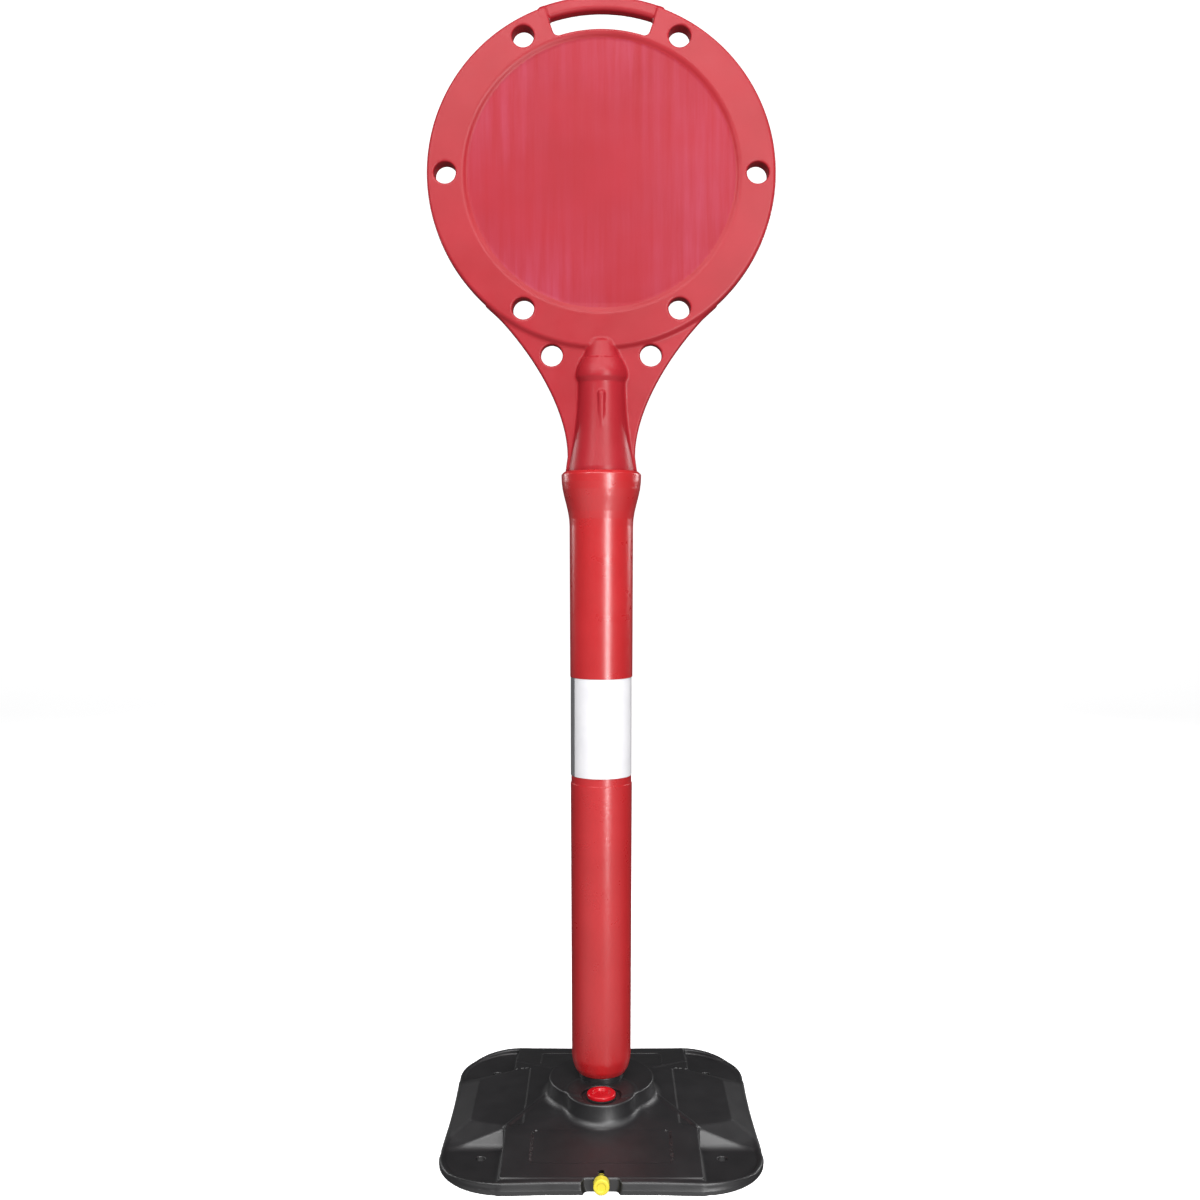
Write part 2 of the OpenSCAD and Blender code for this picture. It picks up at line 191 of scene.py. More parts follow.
def slopes(field, points, reach=0.05):
    """The field's gradient at each point."""
    parts = []
    for k in range(3):
        ahead, behind = points.copy(), points.copy()
        ahead[:, k] += reach
        behind[:, k] -= reach
        parts.append((field(*ahead.T) - field(*behind.T)) / (2 * reach))
    return np.stack(parts, axis=1)


def draw_on_surface(field, points, rounds=4, limit=0.8):
    """Points moved onto the surface, and the directions that it faces there."""
    for _ in range(rounds):
        gradient = slopes(field, points)
        size = np.maximum((gradient ** 2).sum(axis=1), 0.25)
        move = -(field(*points.T) / size)[:, None] * gradient
        points = points + np.clip(move, -limit, limit)
    gradient = slopes(field, points)
    return points, gradient / np.maximum(np.linalg.norm(gradient, axis=1), 1e-6)[:, None]


def add_mesh(name, points, faces, normals):
    """A smooth-shaded object from points in millimetres, with its own normals."""
    mesh = bpy.data.meshes.new(name)
    mesh.from_pydata((points * MM).tolist(), [], faces)
    mesh.polygons.foreach_set("use_smooth", [True] * len(mesh.polygons))
    mesh.normals_split_custom_set_from_vertices(normals.tolist())
    mesh.update()
    piece = bpy.data.objects.new(name, mesh)
    bpy.context.scene.collection.objects.link(piece)
    return piece


def moulded(name, field, axes):
    """An object with the surface of a distance field."""
    points, quads = surface_net(field, axes)
    points, normals = draw_on_surface(field, points)
    return add_mesh(name, points, quads.tolist(), normals)


def grid_axis(low, high, step, fine=()):
    """Grid lines from low to high a step apart, with a finer stretch round each given place."""
    count = int(np.ceil((high - low) / step))
    lines = np.linspace(low, high, count + 1)
    for place in fine:
        lines = lines[np.abs(lines - place) > 1.6]
        lines = np.concatenate([lines, place + np.array([-1.4, -0.95, -0.6, -0.3, 0, 0.3, 0.6, 0.95, 1.4])])
    return np.sort(lines)


# ---------------------------------------------------------------- lathe

def rounded(corners, steps=6):
    """A closed outline whose corners (r, z, radius) are arcs, with the direction each point faces."""
    points, faces = [], []
    ends = np.array([c[:2] for c in corners], dtype=float)
    for i, (r, z, radius) in enumerate(corners):
        before = ends[i] - ends[i - 1]
        after = ends[(i + 1) % len(ends)] - ends[i]
        reach = min(np.linalg.norm(before), np.linalg.norm(after))
        before, after = before / np.linalg.norm(before), after / np.linalg.norm(after)
        side_in, side_out = np.array([before[1], -before[0]]), np.array([after[1], -after[0]])
        if r <= 0:
            side = side_out if ends[(i + 1) % len(ends)][0] > 0 else side_in
            points.append((0.0, z))
            faces.append(side)
            continue
        turn = np.arctan2(before[0] * after[1] - before[1] * after[0], before @ after)
        set_back = min(radius * abs(tan(turn / 2)), 0.48 * reach)
        start = ends[i] - before * set_back
        bend = set_back / max(abs(tan(turn / 2)), 1e-9) * np.sign(turn)
        centre = start - side_in * bend
        count = max(1, int(np.ceil(steps * abs(turn) / (pi / 2))))
        for k in range(count + 1):
            a = turn * k / count
            spun = np.array([side_in[0] * cos(a) - side_in[1] * sin(a),
                             side_in[0] * sin(a) + side_in[1] * cos(a)])
            points.append(tuple(centre + spun * bend))
            faces.append(spun)
    return np.array(points), np.array(faces)


def lathed(name, corners, steps=120, seam=0.0, place=(0, 0, 0), forward=False, arc=None):
    """A round piece from an outline that runs anticlockwise in r and z. A seam stands proud at both sides
    of a shell that was moulded in halves. A forward piece has its axis along -Y instead of +Z."""
    outline, facing = rounded(corners)
    if arc:
        angles = np.linspace(arc[0], arc[1], steps)
    else:
        angles = np.arange(steps) * 2 * pi / steps
        if seam:
            near = np.array([-1.4, -0.9, -0.5, -0.2, 0.2, 0.5, 0.9, 1.4]) / outline[:, 0].max()
            angles = np.sort(np.concatenate([angles, near % (2 * pi), near + pi]))
    across = np.minimum(np.abs(np.sin(angles / 2)), np.abs(np.cos(angles / 2))) * 2
    radius = outline[:, 0][:, None]
    away = across[None, :] * radius / SEAM_WIDTH
    rise = seam * np.exp(-away ** 2) * (facing[:, 0][:, None] > 0.5)
    turned = np.where(np.abs(np.sin(angles / 2)) < np.abs(np.cos(angles / 2)),
                      np.sin(angles), -np.sin(angles))
    fall = rise * -2 * turned[None, :] * radius / SEAM_WIDTH ** 2
    r = radius + rise
    points = np.stack([r * np.cos(angles), r * np.sin(angles),
                       np.broadcast_to(outline[:, 1][:, None], r.shape)], axis=-1)
    out = facing[:, 0][:, None]
    round_it = -out * fall
    normals = np.stack([out * np.cos(angles) - round_it * np.sin(angles),
                        out * np.sin(angles) + round_it * np.cos(angles),
                        np.broadcast_to(facing[:, 1][:, None], r.shape)], axis=-1)
    rows, columns = r.shape
    index = np.arange(rows * columns).reshape(rows, columns)
    index[outline[:, 0] <= 0] = index[outline[:, 0] <= 0][:, :1]
    faces = []
    last = columns - 1 if arc else columns
    for i in range(rows):
        i2 = (i + 1) % rows
        for j in range(last):
            j2 = (j + 1) % columns
            quad = [index[i, j], index[i, j2], index[i2, j2], index[i2, j]]
            quad = [int(v) for n, v in enumerate(quad) if v != quad[n - 1]]
            if len(quad) > 2:
                faces.append(quad)
    if arc:
        faces.append([int(v) for v in index[:, 0]])
        faces.append([int(v) for v in index[::-1, -1]])
    points, normals = points.reshape(-1, 3), normals.reshape(-1, 3)
    used, slot = np.unique(np.concatenate([np.array(f) for f in faces]), return_inverse=True)
    cuts = np.cumsum([len(f) for f in faces])[:-1]
    faces = [part.tolist() for part in np.split(slot, cuts)]
    points, normals = points[used], normals[used]
    if forward:
        points = points[:, [0, 2, 1]] * [1, -1, 1]
        normals = normals[:, [0, 2, 1]] * [1, -1, 1]
    normals /= np.maximum(np.linalg.norm(normals, axis=1), 1e-6)[:, None]
    return add_mesh(name, points + np.array(place), faces, normals)


# ---------------------------------------------------------------- materials

def colour(r, g, b):
    """A colour on the 0 to 255 screen scale, as linear light."""
    def linear(v):
        v /= 255
        return v / 12.92 if v <= 0.04045 else ((v + 0.055) / 1.055) ** 2.4
    return (linear(r), linear(g), linear(b), 1.0)


class Shader:
    """A principled material and the small nodes that feed it."""

    def __init__(self, name, **settings):
        self.material = bpy.data.materials.new(name)
        self.material.use_nodes = True
        self.tree = self.material.node_tree
        self.surface = self.tree.nodes["Principled BSDF"]
        for socket, value in settings.items():
            self.surface.inputs[socket.replace("_", " ")].default_value = value
        self.place = self.tree.nodes.new("ShaderNodeTexCoord").outputs["Object"]

    def link(self, output, socket):
        self.tree.links.new(output, socket)

    def stretched(self, x, y, z):
        node = self.tree.nodes.new("ShaderNodeMapping")
        node.inputs["Scale"].default_value = (x, y, z)
        self.link(self.place, node.inputs["Vector"])
        return node.outputs["Vector"]

    def noise(self, scale, detail=3.0, rough=0.5, vector=None):
        node = self.tree.nodes.new("ShaderNodeTexNoise")
        node.inputs["Scale"].default_value = scale
        node.inputs["Detail"].default_value = detail
        node.inputs["Roughness"].default_value = rough
        self.link(vector or self.place, node.inputs["Vector"])
        return node.outputs["Fac"]

    def spread(self, value, low, high, to_low=0.0, to_high=1.0):
        node = self.tree.nodes.new("ShaderNodeMapRange")
        limits = (("From Min", low), ("From Max", high), ("To Min", to_low), ("To Max", to_high))
        for socket, number in limits:
            node.inputs[socket].default_value = number
        self.link(value, node.inputs["Value"])
        return node.outputs["Result"]

    def product(self, a, b):
        node = self.tree.nodes.new("ShaderNodeMath")
        node.operation = "MULTIPLY"
        self.link(a, node.inputs[0])
        self.link(b, node.inputs[1])
        return node.outputs["Value"]

    def distance(self, spot):
        node = self.tree.nodes.new("ShaderNodeVectorMath")
        node.operation = "DISTANCE"
        self.link(self.place, node.inputs[0])
        node.inputs[1].default_value = spot
        return node.outputs["Value"]

    def blend(self, amount, low, high):
        node = self.tree.nodes.new("ShaderNodeMix")
        node.data_type = "RGBA"
        self.link(amount, node.inputs["Factor"])
        for socket, value in ((node.inputs[6], low), (node.inputs[7], high)):
            if isinstance(value, tuple):
                socket.default_value = value
            else:
                self.link(value, socket)
        return node.outputs[2]

    def bump(self, value, strength, depth):
        node = self.tree.nodes.new("ShaderNodeBump")
        node.inputs["Strength"].default_value = strength
        node.inputs["Distance"].default_value = depth
        self.link(value, node.inputs["Height"])
        self.link(node.outputs["Normal"], self.surface.inputs["Normal"])

    def finish(self, base, roughness):
        self.link(base, self.surface.inputs["Base Color"])
        self.link(roughness, self.surface.inputs["Roughness"])
        return self.material


def moulded_plastic(name, dark, light, rough, grain=1400.0, bump=0.25, specular=0.5):
    """Satin moulded plastic: cloudy colour, uneven gloss and a fine grain."""
    s = Shader(name, Specular_IOR_Level=specular)
    clouds = s.spread(s.noise(14.0, 4.0), 0.35, 0.65)
    gloss = s.spread(s.noise(45.0, 5.0, 0.6), 0.3, 0.7, rough[0], rough[1])
    s.bump(s.noise(grain, 2.0), bump, 0.00025)
    return s.finish(s.blend(clouds, dark, light), gloss)


def red_panel_plastic():
    """The sign panel's red, with a painted pale pink sheen that grows towards its edge, broken into vertical
    streaks and patches.
    """
    s = Shader("red_panel", Specular_IOR_Level=0.22)
    clouds = s.spread(s.noise(11.0, 4.0), 0.3, 0.7)
    base = s.blend(clouds, colour(145, 21, 33), colour(151, 25, 38))
    # Painted sheen: vertical streaks, patches and the distance from the panel's middle mask where a pale
    # pink stands in for the lights' reflection.
    runs = s.spread(s.noise(1.0, 4.0, 0.6, s.stretched(85.0, 1.0, 5.0)), 0.35, 0.7, 0.1, 1.0)
    sheen_patches = s.spread(s.noise(8.0, 3.0), 0.35, 0.62, 0.2, 1.0)
    outer = s.spread(s.distance((0, 0, DISC_Z * MM)), 0.03, 0.15, 0.12, 0.8)
    gloss = s.spread(s.noise(45.0, 5.0, 0.6), 0.3, 0.7, 0.42, 0.52)
    s.bump(s.noise(1300.0, 2.0), 0.25, 0.00025)
    # colour(158, 56, 78) is the painted pale pink sheen laid over the red.
    return s.finish(s.blend(s.product(s.product(runs, sheen_patches), outer), base, colour(158, 56, 78)), gloss)


def band_film():
    """White reflective film: near white, with faint stains and a fine embossed mesh."""
    s = Shader("white_film", Specular_IOR_Level=0.5, Coat_Weight=0.3, Coat_Roughness=0.2)
    stains = s.spread(s.noise(22.0, 5.0, 0.6), 0.35, 0.75)
    gloss = s.spread(s.noise(60.0, 4.0), 0.3, 0.7, 0.28, 0.4)
    s.bump(s.noise(900.0, 1.0), 0.12, 0.0001)
    return s.finish(s.blend(stains, colour(228, 227, 230), colour(217, 216, 220)), gloss)


def rubber():
    """Matt black rubber with a dusty cloudiness."""
    s = Shader("seal_rubber", Specular_IOR_Level=0.3)
    dust = s.spread(s.noise(120.0, 4.0), 0.3, 0.7)
    gloss = s.spread(s.noise(300.0, 3.0), 0.3, 0.7, 0.7, 0.85)
    s.bump(s.noise(2500.0, 2.0), 0.2, 0.0001)
    return s.finish(s.blend(dust, colour(22, 22, 22), colour(38, 37, 37)), gloss)


RED = moulded_plastic("red_shell", colour(173, 22, 27), colour(181, 27, 33), (0.26, 0.33), specular=0.9)
HEAD_RED = moulded_plastic("red_head", colour(149, 26, 35), colour(156, 30, 40), (0.34, 0.42), specular=0.32)
RED_PANEL = red_panel_plastic()
BLACK = moulded_plastic("black_shell", colour(20, 19, 21), colour(26, 25, 27), (0.4, 0.48), specular=0.9)
CAP_RED = moulded_plastic("cap_red", colour(181, 9, 22), colour(191, 15, 29), (0.26, 0.34), 2600.0, 0.1)
YELLOW = moulded_plastic("plug_yellow", colour(224, 205, 52), colour(230, 213, 70), (0.3, 0.38), 2600.0, 0.1)
WHITE = band_film()
# Grey for the band's lap strip: painted shade along the band's left side.
LAP_PAINTED_SHADE = moulded_plastic("lap_painted_shade", colour(104, 103, 106), colour(118, 117, 120), (0.35, 0.45),
                           2600.0, 0.1)
RUBBER = rubber()


def place(piece, body, slot, nodes, *materials):
    """A finished piece: its body, the CAD nodes it stands for and its materials. The slot argument, its
    finish, is not used.
    """
    for material in materials:
        piece.data.materials.append(material)
    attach(piece, body)
    if nodes:
        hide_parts(*nodes)
    return piece


# ---------------------------------------------------------------- paddle head

def web_loop():
    """The web's outline: a curve from the ring down to the collar on each side."""
    start, lead, pull, end = np.array([[131.7, 941.0], [87.9, 900.0], [38.7, 828.0], [38.7, 768.0]])
    t = np.linspace(0, 1, 21)[:, None]
    curve = (1 - t) ** 3 * start + 3 * (1 - t) ** 2 * t * lead + 3 * (1 - t) * t ** 2 * pull + t ** 3 * end
    side = np.vstack([curve, [[41.0, post_high[2] + 0.3]]])
    return np.vstack([side, (side * [-1, 1])[::-1]])


def neck_outline():
    """Heights and radii of the neck, its swelling and the dome that fades into the web."""
    t = np.linspace(0, 1, 13)
    z = list(755 + 95 * t)
    r = list(27.5 + 10 * (1 - np.sin(t * pi / 2)))
    z = [SEAT_Z, 751.0] + z + [853.0, 855.0, 858.0, 860.0]
    r = [37.5, 37.5] + r + [27.6, 28.6, 30.0, 30.3]
    for a in np.radians([6.5, 13, 19.5, 26]):
        z.append(860 + 30 * sin(a))
        r.append(30.3 - 30 * (1 - cos(a)))
    step_z, step_r = z[-1] + 7, r[-1] - 7 * tan(radians(26))
    z += [step_z, step_z + 1.2, step_z + 26, step_z + 60]
    r += [step_r, step_r - 1.3, step_r - 10.5, step_r - 22]
    return np.array(z), np.array(r)


WEB_LOOP = web_loop()
NECK_Z, NECK_R = neck_outline()


def head_field(x, y, z):
    up = z - DISC_Z
    out = np.hypot(x, up)
    side = np.abs(y)
    past_end = (np.abs(np.arctan2(x, up)) - GRIP_ANGLE) * out
    ring = round_both(out - DISC_R, side - RING_HALF, 4)
    bevel = (out - PANEL_R) * BEVEL_DEPTH - (side - PANEL_HALF) * BEVEL_RUN
    bevel = bevel / np.hypot(BEVEL_DEPTH, BEVEL_RUN)
    ring = round_both(ring, -round_both(PANEL_HALF - side, bevel, 1.5), 1.5)
    ring = round_both(ring, -np.maximum(BAR_IN - 6 - out, past_end), 2)
    bar_mid, bar_half = (BAR_IN + BAR_OUT) / 2, (BAR_OUT - BAR_IN) / 2
    bar = round_both(np.abs(out - bar_mid) - bar_half, side - BAR_HALF, 5)
    bar = np.maximum(bar, past_end - radians(1.5) * BAR_OUT)
    ring = round_either(ring, bar, 4)
    web = round_both(outline_distance(x, z, WEB_LOOP), side - WEB_HALF, 2.5)
    solid = round_either(ring, web, 4)
    middle = np.hypot(x, y)
    neck = round_both(revolved(middle, z, NECK_Z, NECK_R), SEAT_Z - z, 1)
    neck = round_both(neck, z - TIP_Z, 4)
    solid = round_either(solid, neck, 2.5)
    rib = np.hypot(np.hypot(x, y + RIB_Y), z - np.clip(z, 790, 838)) - 4.5
    solid = round_either(solid, rib, 0.7)
    solid = solid - SEAM_HEIGHT * np.exp(-(y / SEAM_WIDTH) ** 2)
    plug = round_both(middle - PLUG_R, head_low[2] - z, 2)
    solid = round_either(solid, np.maximum(plug, z - SEAT_Z - 5), 1)
    slot_mid, slot_half = (GRIP_IN + GRIP_OUT) / 2, (GRIP_OUT - GRIP_IN) / 2
    holes = round_both(np.abs(out - slot_mid) - slot_half, past_end, 6)
    x = np.abs(x)
    for a in (0, 60, -60):
        spot = HOLE_CIRCLE * cos(radians(a)), HOLE_CIRCLE * sin(radians(a))
        holes = np.minimum(holes, np.hypot(x - spot[0], up - spot[1]) - HOLE_R)
    holes = np.minimum(holes, np.hypot(x - WEB_HOLE_X, z - WEB_HOLE_Z) - HOLE_R)
    solid = round_both(solid, -holes, 2)
    return round_both(solid, -np.maximum(middle - PLUG_R + 3, z - SEAT_Z + 4), 1)


def make_head():
    axes = (grid_axis(-DISC_R - 4, DISC_R + 4, 1.9),
            grid_axis(-41.0, 41.0, 1.9, fine=(0,)),
            grid_axis(head_low[2] - 4, head_high[2] + 4, 1.9))
    head = moulded("paddle_head", head_field, axes)
    place(head, "head", "red_shell", ["sign_head"], HEAD_RED, RED_PANEL)
    count = len(head.data.polygons)
    centre = np.empty(count * 3)
    head.data.polygons.foreach_get("center", centre)
    centre = centre.reshape(-1, 3) / MM
    on_panel = np.hypot(centre[:, 0], centre[:, 2] - DISC_Z) < PANEL_R
    head.data.polygons.foreach_set("material_index", on_panel.astype(np.int32))


# ---------------------------------------------------------------- base

DECK_SLOPE = (DECK_Z - RIM_Z) / (BASE_HALF - PINCH - RIM_BEVEL - LOBE_Y)
SIDE_CREASE_Z = DECK_Z - (CREASE_X - LOBE_X) * SIDE_SLOPE
SIDE_FALL = (SIDE_CREASE_Z - SIDE_RIM_Z) / (BASE_HALF - CREASE_X)


def front_top(ay):
    """Height of the front and back slopes, with the bevel along their rim."""
    edge = BASE_HALF - PINCH - RIM_BEVEL
    return RIM_Z + np.where(ay < edge, (edge - ay) * DECK_SLOPE, edge - ay)


def side_top(ax):
    """Height of the side slopes, which fall steeply outside their crease."""
    return SIDE_CREASE_Z + np.where(ax < CREASE_X, (CREASE_X - ax) * SIDE_SLOPE, (CREASE_X - ax) * SIDE_FALL)


def plan_distance(ax, ay):
    """The square plan with round corners, whose sides draw in at the middle."""
    straight = BASE_HALF - CORNER_R
    qx, qy = ax - straight, ay - straight
    plan = np.hypot(np.maximum(qx, 0), np.maximum(qy, 0)) + np.minimum(np.maximum(qx, qy), 0) - CORNER_R
    for across, along in ((ax, ay), (ay, ax)):
        dip = PINCH * np.maximum(1 - (along / straight) ** 2, 0)
        plan = np.maximum(plan, across - BASE_HALF + dip)
    return plan


def boss(x, y, z, r, foot_r):
    """A boss that flares at its foot, with a rounded top."""
    t = np.linspace(0, 1, 13)
    heights = RIM_Z + (HUB_Z - RIM_Z) * t
    radii = r + (foot_r - r) * (1 - np.sin(t * pi / 2))
    return round_both(revolved(np.hypot(x, y), z, heights, radii), z - HUB_Z, 1.8)


def bead(x, y, z, deck, start, end):
    """A low ridge along the deck between two places, on both sides."""
    ex, ey = end[0] - start[0], end[1] - start[1]
    t = np.clip(((x - start[0]) * ex + (y - start[1]) * ey) / (ex * ex + ey * ey), 0, 1)
    aside = np.hypot(x - start[0] - t * ex, y - start[1] - t * ey)
    return np.hypot(aside, z - deck + 1.2) - 2.4


def base_field(x, y, z):
    ax, ay = np.abs(x), np.abs(y)
    plan = plan_distance(ax, ay)
    front, side = front_top(ay), side_top(ax)
    lean = np.where(ay < BASE_HALF - PINCH - RIM_BEVEL, sqrt(1 + DECK_SLOPE ** 2), sqrt(2))
    fall = np.where(ax < CREASE_X, sqrt(1 + SIDE_SLOPE ** 2), sqrt(1 + SIDE_FALL ** 2))
    roof = round_both((z - front) / lean, (z - side) / fall, 1.2)
    cut = CUT_X * (ax - LOBE_X - CUT_START) + CUT_Y * (ay - LOBE_Y + CUT_BACK) + (z - DECK_Z + CUT_DROP)
    cut = cut / sqrt(1 + CUT_X ** 2 + CUT_Y ** 2)
    wall = (ay - LOBE_Y + WALL_TILT * (z - POCKET_Z)) / sqrt(1 + WALL_TILT ** 2)
    arms = round_either(ax - LOBE_X, round_both(wall, cut, 1.2), 3)
    deck = round_both(round_both(plan, roof, 2), arms, 1.6)
    for across, along in ((ax, ay), (ay, ax)):
        panel = round_both(across - 75, np.abs(along - 114) - 28, 6)
        deck = round_both(deck, -np.maximum(panel, -roof - 0.8), 0.4)
    top = np.minimum(front, side)
    ridges = np.minimum(bead(ax, y, z, top, (62, -3), (113, -90)), bead(ax, y, z, top, (62, 72), (106, 104)))
    deck = round_either(deck, np.maximum(ridges, arms + 1), 2.5)
    floor = round_both(plan, z - POCKET_Z, 2)
    lip_z = np.maximum(7.5, np.minimum(12.5, 13 - (BASE_HALF - ay) * 0.168))
    lip = round_both(round_both(plan, z - lip_z, 1.8), -plan - 5, 1.8)
    solid = round_either(round_either(floor, lip, 2.5), deck, 5)
    hub = round_either(boss(x, y, z, 60.5, 71), boss(x, y + 40, z, 39, 46), 4)
    solid = round_either(solid, hub, 6)
    solid = round_both(solid, -z, 1.5)
    solid = solid - SEAM_HEIGHT * np.exp(-((z - 4.5) / SEAM_WIDTH) ** 2)
    middle = np.hypot(x, y)
    solid = round_both(solid, -np.maximum(middle - 22, 5 - z), 1)
    from_cap = np.hypot(x, y - FILLER_Y)
    solid = round_both(solid, -np.maximum(from_cap - 22, HUB_Z - 2 - z), 0.6)
    solid = round_both(solid, -np.maximum(from_cap - 14, 22 - z), 0.8)
    niche = np.hypot(x, z - DRAIN_Z) - 18.5 - 0.375 * np.maximum(NICHE_Y - y, 0)
    solid = round_both(solid, -round_both(niche, y - NICHE_Y, 2), 1.5)
    solid = round_both(solid, -np.maximum(np.hypot(x, z - DRAIN_Z) - 5.5, y - NICHE_Y - 16), 0.5)
    anchor = np.hypot(ax - 130, ay - 108) - 5
    return round_both(solid, -anchor, 1.2)


def make_base():
    axes = (grid_axis(-BASE_HALF - 4, BASE_HALF + 4, 1.9),
            grid_axis(-BASE_HALF - 4, BASE_HALF + 4, 1.9),
            grid_axis(-2.5, HUB_Z + 3, 1.5, fine=(4.5,)))
    base = moulded("base_moulding", base_field, axes)
    place(base, "base", "black_shell", ["base_shell", "ballast_water"], BLACK)


# ---------------------------------------------------------------- round pieces

def make_post():
    foot_z, top_z = post_low[2], post_high[2]
    flare_z, flare_height = 688, 56
    straight_r, under_collar_r, collar_r = 33.7, 36.4, post_high[0]

    def wall(z):
        return straight_r + (under_collar_r - straight_r) * (z - foot_z - 15) / (flare_z - foot_z - 15)

    seat_low, seat_high = band_low[2] - 9, band_high[2]
    seat_r = wall(band_low[2]) - 0.8
    flare = [(under_collar_r + (collar_r - under_collar_r) * (1 - cos(pi * t)) / 2,
              flare_z + flare_height * t, 20)
             for t in (0, 0.15, 0.3, 0.45, 0.6, 0.75, 0.9)]
    outline = [(22.0, foot_z, 1.0), (27.5, foot_z, 3), (31.4, foot_z + 6.5, 14),
               (straight_r, foot_z + 17, 30),
               (wall(seat_low), seat_low, 0.3), (seat_r, seat_low, 0.3),
               (seat_r, seat_high, 0.3), (wall(seat_high), seat_high, 0.3)]
    outline += flare
    outline += [(collar_r, 745.0, 2), (collar_r, 747.5, 2), (41.7, top_z, 1.5), (38.0, top_z, 1),
                (38.0, SEAT_Z, 0.5), (32.3, SEAT_Z, 1), (32.3, 620.0, 2), (30.3, 600.0, 5),
                (30.7, foot_z + 31, 5), (22.0, foot_z + 21, 2)]
    place(lathed("post_tube", outline, seam=SEAM_HEIGHT), "post", "red_shell", ["post"], RED)


def make_band():
    low, high = band_low[2], band_high[2]
    inner = 34.36
    outer = inner + 0.6
    edge = 0.15
    outline = [(inner, low, edge), (outer, low, edge), (outer, high, edge), (inner, high, edge)]
    place(lathed("band_film", outline, 160), "post", "white_band", ["reflective_band"], WHITE)
    # The lap strip is the film's overlap on the band's left side; its grey is painted shade there.
    lap = [(outer - 0.05, low + 0.2, edge), (outer + 0.45, low + 0.2, edge),
           (outer + 0.45, high - 0.2, edge), (outer - 0.05, high - 0.2, edge)]
    middle, half = pi, radians(29)
    strip = lathed("band_lap", lap, 40, arc=(middle - half, middle + half))
    place(strip, "post", "white_band", [], LAP_PAINTED_SHADE)


def make_spigot():
    z0, z1 = spigot_low[2], spigot_high[2]
    r = 21.7
    flange_r = spigot_high[0]
    under, over = HUB_Z + 0.3, post_low[2] - 0.3
    outline = [(r - 3, z0, 0.5), (r, z0, 2), (r, under, 0.4), (flange_r, under, 1), (flange_r, over, 1.2),
               (r, over, 0.8), (r, z1, 2), (r - 3, z1, 0.8)]
    place(lathed("spigot_tube", outline), "spigot", "black_shell", ["post_spigot"], BLACK)


def make_filler():
    r = cap_high[0] - 1.2
    top, foot = cap_high[2], cap_low[2]
    flange = seal_high[2] + 0.1
    outline = [(0, foot, 0), (13.7, foot, 1.5), (13.7, flange, 0.4), (r, flange, 0.6), (r, top, 1.8),
               (10.4, top, 1.2), (8.8, top - 3, 0.8), (0, top - 3, 0)]
    cap = lathed("filler_cap_turned", outline, place=(0, FILLER_Y, 0))
    place(cap, "filler", "cap_red", ["filler_cap"], CAP_RED)
    ring = [(14.1, seal_low[2], 0.3), (seal_high[0], seal_low[2], 0.5),
            (seal_high[0], seal_high[2], 0.5), (14.1, seal_high[2], 0.3)]
    seal = lathed("filler_seal", ring, place=(0, FILLER_Y, 0))
    place(seal, "filler_seal", "seal_rubber", ["filler_gasket"], RUBBER)


def make_drain():
    """Axis along -Y: heights run forwards from the gasket's seat."""
    r = plug_high[0] - 1.2
    front, inner = -plug_low[1], -plug_high[1]
    flange = -ring_seal_low[1] + 0.1
    outline = [(0, inner, 0), (5.2, inner, 1), (5.2, flange, 0.3), (r, flange, 0.6), (r, front, 2.2),
               (5.0, front, 0.8), (4.0, front - 1.2, 0.5), (0, front - 1.2, 0)]
    plug = lathed("drain_plug_turned", outline, place=(0, 0, DRAIN_Z), forward=True)
    place(plug, "drain", "plug_yellow", ["drain_plug"], YELLOW)
    back, face = -ring_seal_high[1], -ring_seal_low[1]
    ring = [(5.6, back, 0.3), (8.5, back, 0.4), (8.5, face, 0.4), (5.6, face, 0.3)]
    seal = lathed("drain_seal", ring, place=(0, 0, DRAIN_Z), forward=True)
    place(seal, "drain_seal", "seal_rubber", ["drain_gasket"], RUBBER)


# ---------------------------------------------------------------- studio

def make_floor():
    """A pale sheet that lies on the ground and bends up behind the object."""
    depth, rise, bend = 6.0, 6.0, 2.5
    profile = [(-5.0, 0.0), (depth - bend, 0.0)]
    for k in range(1, 17):
        a = pi / 2 * k / 16
        profile.append((depth - bend + bend * sin(a), bend - bend * cos(a)))
    profile.append((depth, rise))
    points = [(x, y, z) for y, z in profile for x in (-7.0, 7.0)]
    faces = [(2 * i, 2 * i + 1, 2 * i + 3, 2 * i + 2) for i in range(len(profile) - 1)]
    mesh = bpy.data.meshes.new("sweep")
    mesh.from_pydata(points, [], faces)
    mesh.polygons.foreach_set("use_smooth", [True] * len(mesh.polygons))
    floor = bpy.data.objects.new("sweep", mesh)
    bpy.context.scene.collection.objects.link(floor)
    floor.visible_glossy = False
    floor.visible_diffuse = False
    s = Shader("paper", Specular_IOR_Level=0.1, Emission_Color=(1, 1, 1, 1), Emission_Strength=0.75)
    clouds = s.spread(s.noise(1.5, 2.0), 0.3, 0.7)
    gloss = s.spread(s.noise(20.0, 2.0), 0.3, 0.7, 0.85, 0.95)
    mesh.materials.append(s.finish(s.blend(clouds, colour(246, 246, 247), colour(249, 249, 250)), gloss))


def add_light(name, place, target, width, height, power, tint=(1, 1, 1)):
    data = bpy.data.lights.new(name, "AREA")
    data.shape = "RECTANGLE"
    data.size, data.size_y = width, height
    data.energy = power
    data.color = tint
    light = bpy.data.objects.new(name, data)
    light.location = place
    aim = np.array(target) - np.array(place)
    light.rotation_euler = (radians(90) + atan(aim[2] / np.hypot(aim[0], aim[1])), 0,
                            np.arctan2(-aim[0], aim[1]))
    bpy.context.scene.collection.objects.link(light)
    return light


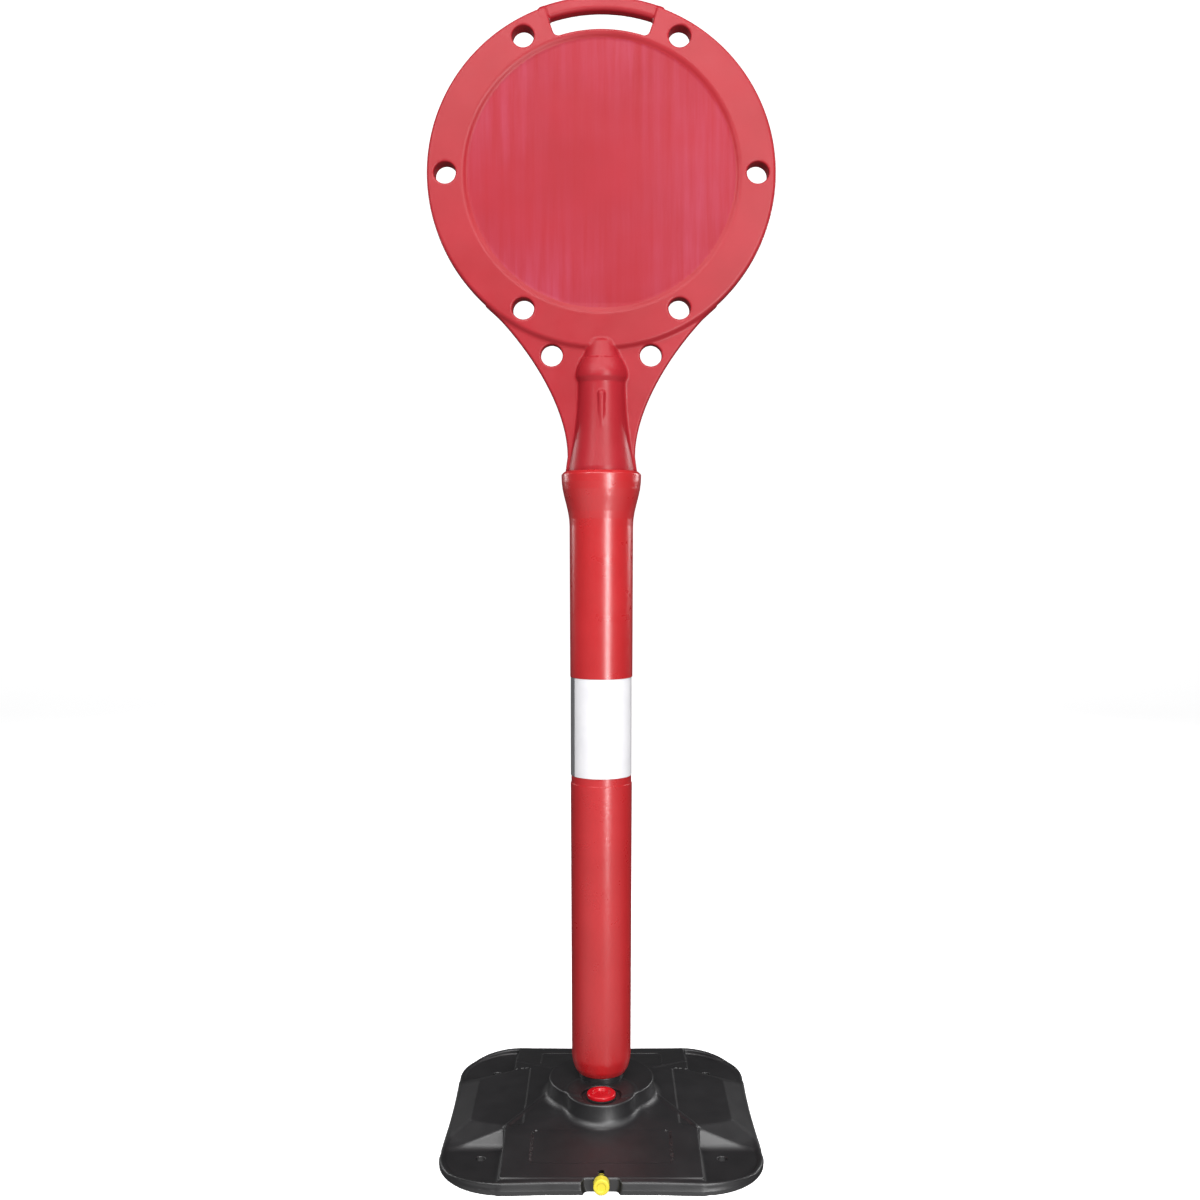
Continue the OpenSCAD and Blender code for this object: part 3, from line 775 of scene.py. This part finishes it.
def make_world():
    """Dim surroundings: a little brighter in front, and brightest low down in front."""
    world = bpy.data.worlds.new("studio")
    world.use_nodes = True
    tree = world.node_tree
    place = tree.nodes.new("ShaderNodeTexCoord").outputs["Generated"]
    parts = tree.nodes.new("ShaderNodeSeparateXYZ")
    tree.links.new(place, parts.inputs["Vector"])

    def ramp(axis, start, end, low, high):
        node = tree.nodes.new("ShaderNodeMapRange")
        for socket, number in (("From Min", start), ("From Max", end), ("To Min", low), ("To Max", high)):
            node.inputs[socket].default_value = number
        tree.links.new(parts.outputs[axis], node.inputs["Value"])
        return node.outputs["Result"]

    def combine(operation, a, b):
        node = tree.nodes.new("ShaderNodeMath")
        node.operation = operation
        tree.links.new(a, node.inputs[0])
        tree.links.new(b, node.inputs[1])
        return node.outputs[0]

    around = ramp("Y", 1.0, -1.0, 0.05, 0.22)
    low_front = combine("MULTIPLY", ramp("Y", 0.2, -0.6, 0.0, 1.0), ramp("Z", -0.05, -0.4, 0.0, 0.7))
    background = tree.nodes["Background"]
    background.inputs["Color"].default_value = (1.0, 1.0, 1.0, 1.0)
    tree.links.new(combine("ADD", around, low_front), background.inputs["Strength"])
    bpy.context.scene.world = world


def make_studio():
    make_world()
    bpy.context.scene.view_settings.view_transform = "Standard"
    add_light("key_strip", (0.8, -1.9, 0.75), (0, 0, 0.6), 0.26, 1.7, 34)
    add_light("front_box", (0, -2.3, 2.3), (0, 0, 0.5), 1.8, 0.7, 30)
    add_light("overhead", (0.1, -1.1, 2.8), (0, 0, 0.3), 4.4, 1.0, 52)
    add_light("left_strip", (-1.2, -1.6, 1.8), (0, 0, 1.0), 0.3, 0.9, 12)
    add_light("rear_right", (2.7, 1.9, 1.5), (0, 0, 0.8), 0.8, 1.6, 32)
    add_light("rear_left", (-2.7, 1.9, 1.5), (0, 0, 0.8), 0.8, 1.6, 24)


def make_camera():
    scene = bpy.context.scene
    data = bpy.data.cameras.new("camera")
    data.sensor_width = 36.0
    data.lens = 37.55
    data.shift_x, data.shift_y = -0.0011, -0.0323
    data.clip_start, data.clip_end = 0.05, 50
    camera = bpy.data.objects.new("camera", data)
    camera.location = (0.0, -1.4467, 0.6651)
    camera.rotation_euler = (radians(90 - 0.7), 0, 0)
    scene.collection.objects.link(camera)
    scene.camera = camera


make_head()
make_post()
make_band()
make_spigot()
make_base()
make_filler()
make_drain()
make_floor()
make_studio()
make_camera()
